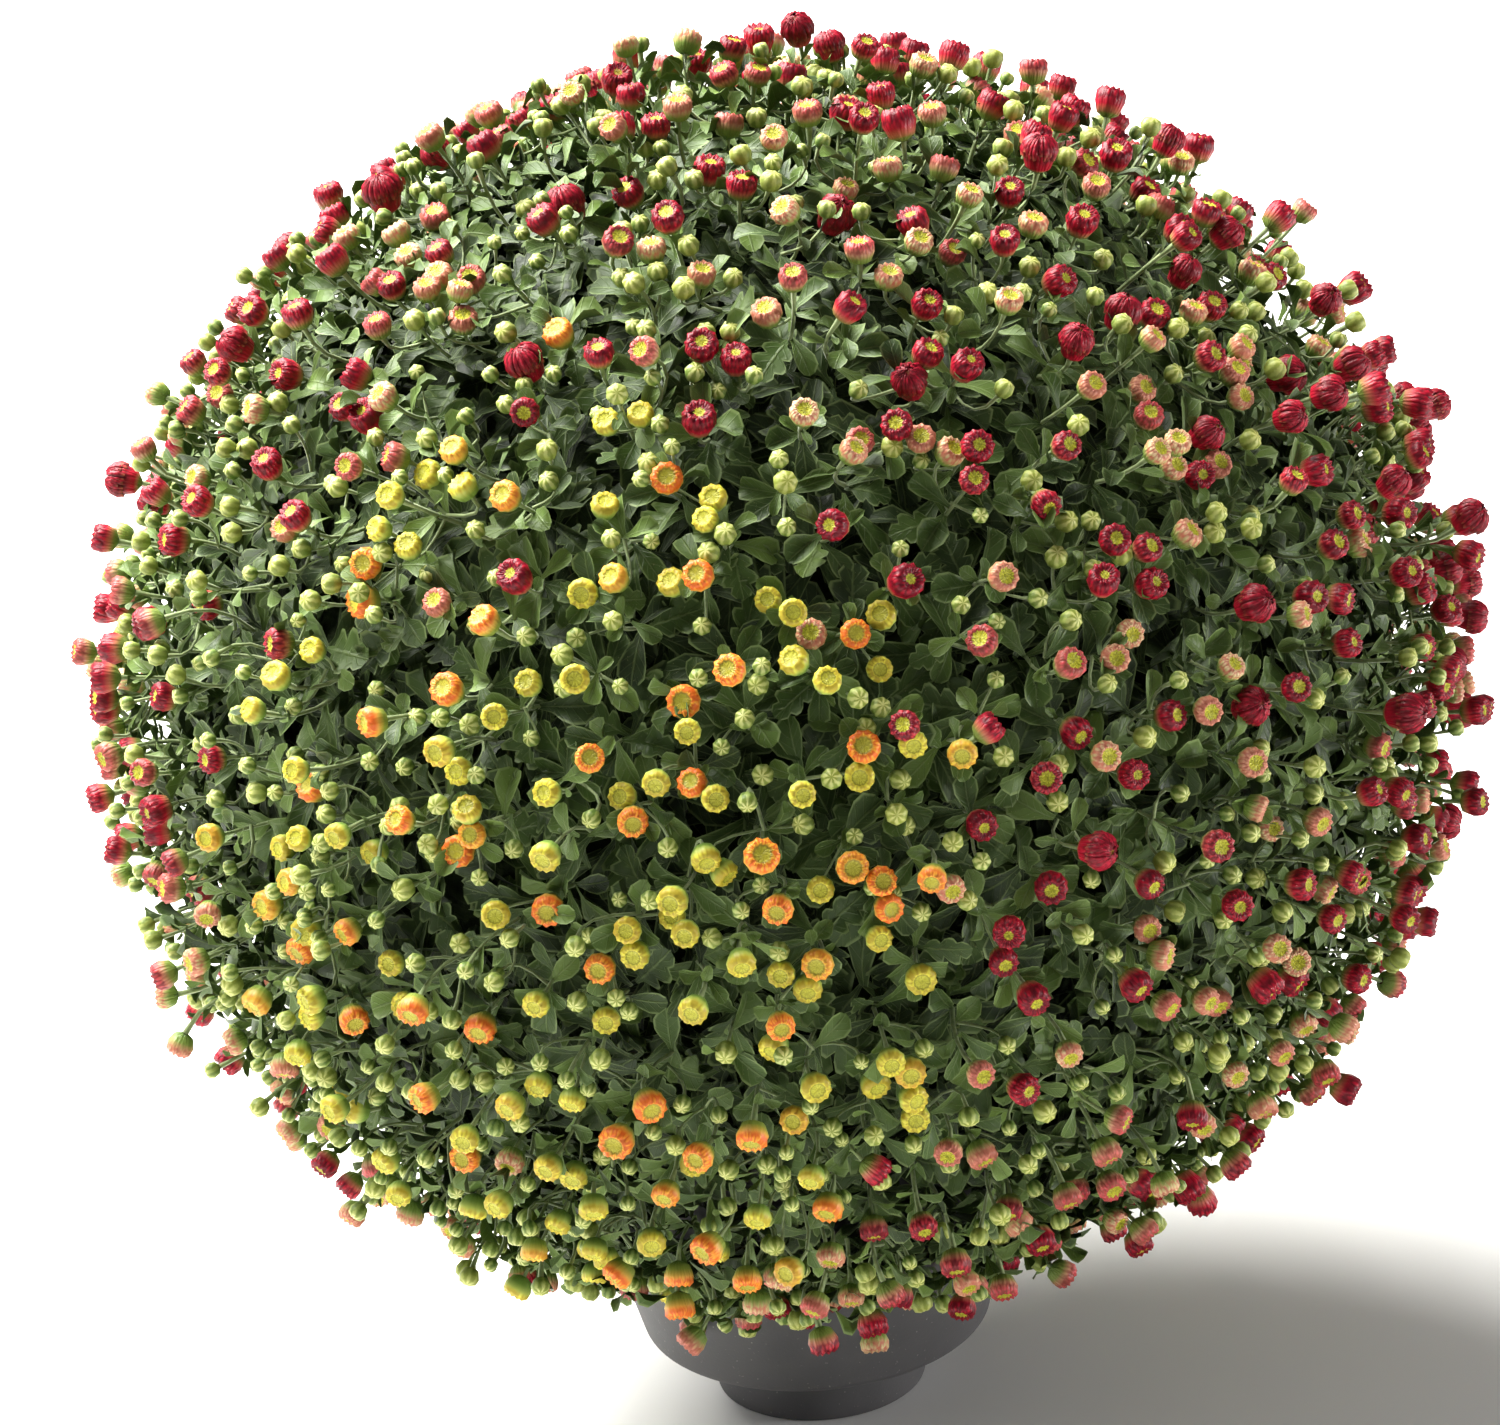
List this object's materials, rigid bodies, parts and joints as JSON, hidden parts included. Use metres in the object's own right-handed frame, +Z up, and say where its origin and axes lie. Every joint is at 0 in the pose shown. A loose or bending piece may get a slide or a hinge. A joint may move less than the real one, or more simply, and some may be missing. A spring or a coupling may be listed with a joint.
{
  "type": "pot chrysanthemum",
  "caption": "Potted chrysanthemum grown as a ball of lobed leaves and stalked flower buds over a stepped round pot.",
  "frame": {"origin": "middle of the pot's flat underside", "axes": "+Z up, the side with the yellow buds faces -Y"},
  "size_m": [0.6086, 0.6286, 0.6217],
  "materials": {
    "pot_plastic": "satin",
    "soil": "matte",
    "foliage_yellow_plant": "satin",
    "foliage_red_plants": "satin"
  },
  "bodies": {
    "root": {"pot": "pot_plastic", "soil": "soil", "plant_yellow": "foliage_yellow_plant", "plant_red_right": "foliage_red_plants", "plant_red_back": "foliage_red_plants"}
  },
  "joints": []
}
